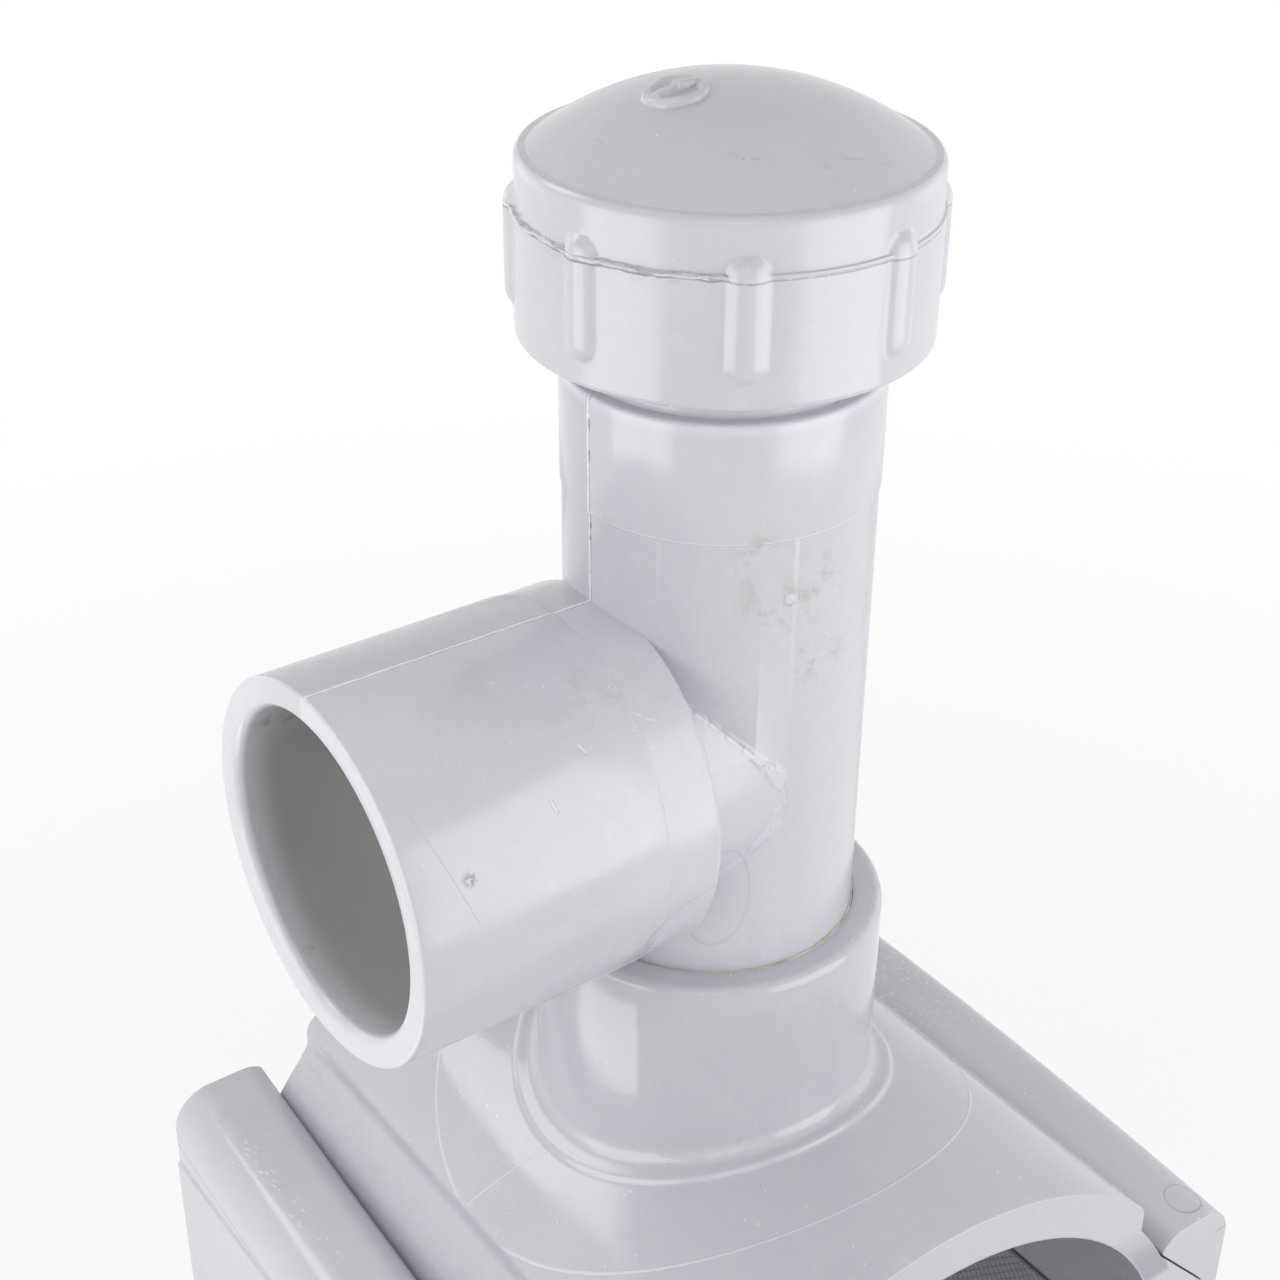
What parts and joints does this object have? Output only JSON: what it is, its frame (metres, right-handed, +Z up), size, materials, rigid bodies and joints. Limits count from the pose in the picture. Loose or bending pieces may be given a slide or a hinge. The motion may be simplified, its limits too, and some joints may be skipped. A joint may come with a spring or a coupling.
{
  "type": "pipe tapping saddle",
  "caption": "Tapping saddle for a plastic main pipe: a split saddle drawn together by wedge rails, with a tee, a side outlet socket, a screw cap and a threaded cutter inside.",
  "frame": {"origin": "on the main pipe's axis, under the tee's axis", "axes": "+X along the main pipe, -Y the way the outlet socket looks, +Z up the tee"},
  "size_m": [0.1268, 0.1464, 0.2931],
  "materials": {
    "white_plastic": "glossy, slightly bluish white",
    "light_grey_plastic": "semi-gloss light grey",
    "black_rubber": "matt",
    "brass": "turned"
  },
  "bodies": {
    "saddle": {"saddle_upper": "light_grey_plastic", "saddle_lower": "light_grey_plastic", "saddle_seal": "black_rubber", "tee_body": "white_plastic"},
    "left_rail": {"clamp_rail_left": "light_grey_plastic"},
    "right_rail": {"clamp_rail_right": "light_grey_plastic"},
    "cap_lift_body": {"cap_seal": "black_rubber"},
    "cap_body": {"cap": "white_plastic"},
    "cutter_travel_body": {"cutter_ring": "black_rubber"},
    "cutter_body": {"cutter": "brass"}
  },
  "joints": [
    {"name": "left_rail_slide", "type": "slide", "parent": "saddle", "child": "left_rail", "axis": [0.9998, -0.0196, 0], "range_m": [0, 0.126]},
    {"name": "right_rail_slide", "type": "slide", "parent": "saddle", "child": "right_rail", "axis": [0.9998, 0.0196, 0], "range_m": [0, 0.126]},
    {"name": "cap_lift", "type": "slide", "parent": "saddle", "child": "cap_lift_body", "axis": [0, 0, 1], "range_m": [0, 0.02101]},
    {"name": "cap_turn", "type": "hinge", "parent": "cap_lift_body", "child": "cap_body", "pos_m": [0, 0, 0.214], "axis": [0, 0, 1], "range_deg": [0, 2520]},
    {"name": "cutter_travel", "type": "slide", "parent": "saddle", "child": "cutter_travel_body", "axis": [0, 0, -1], "range_m": [0, 0.10001]},
    {"name": "cutter_turn", "type": "hinge", "parent": "cutter_travel_body", "child": "cutter_body", "pos_m": [0, 0, 0.173], "axis": [0, 0, -1], "range_deg": [0, 9000]}
  ],
  "couplings": [
    {"joint": "cap_lift", "follows": "cap_turn", "m_per_rad": 0.00047746},
    {"joint": "cutter_travel", "follows": "cutter_turn", "m_per_rad": 0.00063662}
  ]
}
